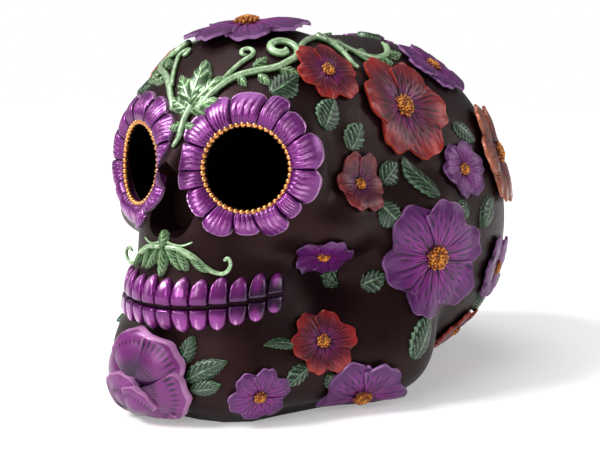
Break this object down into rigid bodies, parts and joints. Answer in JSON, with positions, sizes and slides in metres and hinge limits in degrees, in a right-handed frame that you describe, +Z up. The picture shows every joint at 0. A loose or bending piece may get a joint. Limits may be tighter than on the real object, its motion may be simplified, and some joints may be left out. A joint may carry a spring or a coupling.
{
  "type": "flower-covered skull ornament",
  "caption": "Table ornament: a hollow skull casting with pressed flowers, leaves, vines, petal and bead eye rings and toothed jaws, standing on a flat board.",
  "frame": {"origin": "middle of the resting face, on the underside of the base pad, in the plane of left-right symmetry", "axes": "+Z up; the face looks along -Y; +X is the skull's own left side"},
  "size_m": [0.1164, 0.1509, 0.1042],
  "materials": {
    "dark_casting": "satin",
    "base_board": "matte",
    "ring_purple": "satin",
    "bead_gold": "satin",
    "tooth_purple": "gloss",
    "chin_mauve": "satin",
    "vine_mint": "satin",
    "leaf_green": "satin",
    "bloom_red": "satin",
    "bloom_rose": "satin",
    "bloom_purple": "satin"
  },
  "bodies": {
    "root": {"back_bloom": "bloom_red", "back_crown_bloom": "bloom_purple", "base_pad": "base_board", "chin_bloom": "chin_mauve", "crown_bloom": "bloom_purple", "forehead_spray": "vine_mint", "left_base_bloom": "bloom_purple", "left_bead_ring": "bead_gold", "left_brow_bloom": "bloom_red", "left_brow_leaf_front": "leaf_green", "left_brow_leaf_lower": "leaf_green", "left_brow_vine": "vine_mint", "left_cheek_bloom": "bloom_purple", "left_cheek_leaf_front": "leaf_green", "left_cheek_leaf_lower": "leaf_green", "left_cheek_leaf_upper": "leaf_green", "left_chin_side_bloom": "bloom_purple", "left_crown_leaf_front": "leaf_green", "left_crown_leaf_rear": "leaf_green", "left_crown_side_bloom": "bloom_red", "left_crown_vine": "vine_mint", "left_ear_bloom": "bloom_purple", "left_ear_leaf": "leaf_green", "left_eye_petal_ring": "ring_purple", "left_hollow_bloom": "bloom_purple", "left_jaw_bloom": "bloom_red", "left_jaw_leaf_upper": "leaf_green", "left_nape_bloom": "bloom_purple", "left_rear_base_bloom": "bloom_red", "left_rear_bloom": "bloom_red", "left_rear_crown_bloom": "bloom_purple", "left_temple_bloom": "bloom_rose", "left_temple_leaf": "leaf_green", "lower_teeth": "tooth_purple", "moustache_spray": "vine_mint", "right_base_bloom": "bloom_purple", "right_bead_ring": "bead_gold", "right_brow_bloom": "bloom_red", "right_brow_leaf_front": "leaf_green", "right_brow_vine": "vine_mint", "right_cheek_bloom": "bloom_purple", "right_cheek_leaf_lower": "leaf_green", "right_crown_leaf_rear": "leaf_green", "right_crown_side_bloom": "bloom_red", "right_crown_vine": "vine_mint", "right_ear_bloom": "bloom_purple", "right_ear_leaf": "leaf_green", "right_eye_petal_ring": "ring_purple", "right_jaw_bloom": "bloom_red", "right_nape_bloom": "bloom_purple", "right_rear_base_bloom": "bloom_red", "right_rear_bloom": "bloom_red", "right_rear_crown_bloom": "bloom_purple", "right_temple_bloom": "bloom_rose", "skull_shell": "dark_casting", "upper_teeth": "tooth_purple"}
  },
  "joints": []
}
